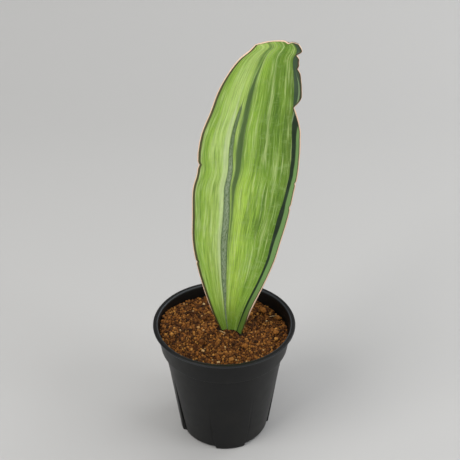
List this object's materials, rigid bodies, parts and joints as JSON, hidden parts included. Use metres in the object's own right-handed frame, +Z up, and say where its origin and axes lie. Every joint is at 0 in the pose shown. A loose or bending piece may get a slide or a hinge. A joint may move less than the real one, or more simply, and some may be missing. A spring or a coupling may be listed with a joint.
{
  "type": "potted snake plant",
  "caption": "Potted snake plant with one broad variegated leaf standing in clay granules in a tapered black slit nursery pot.",
  "frame": {"origin": "on the pot's axis at the surface that the pot stands on", "axes": "+Z up along the pot's axis and the leaf; -Y the front, which the leaf's broad face looks towards; +X right"},
  "size_m": [0.12, 0.12, 0.3552],
  "materials": {
    "black_plastic": "satin black moulded plastic, faintly dusty",
    "clay_granules": "dry matt fired clay granules, brown with tan grains",
    "leaf_green": "thick leathery leaf, yellow-green with darker green and grey-green lengthwise stripes and a thin brown and pale margin",
    "rhizome_skin": "smooth orange-brown rhizome and root skin",
    "pale_grit": "pale matt grit",
    "dry_fibre": "dry straw-coloured plant fibre"
  },
  "bodies": {
    "root": {"pot": "black_plastic", "soil": "clay_granules", "leaf": "leaf_green", "rhizome": "rhizome_skin", "grain_1": "clay_granules", "grain_2": "clay_granules", "grain_3": "clay_granules", "grain_4": "clay_granules", "grain_5": "clay_granules", "grain_6": "clay_granules", "grain_7": "clay_granules", "grain_8": "clay_granules", "grain_9": "clay_granules", "grain_10": "pale_grit", "grain_11": "pale_grit", "dry_straw": "dry_fibre", "sheath_splinter": "dry_fibre"}
  },
  "joints": []
}
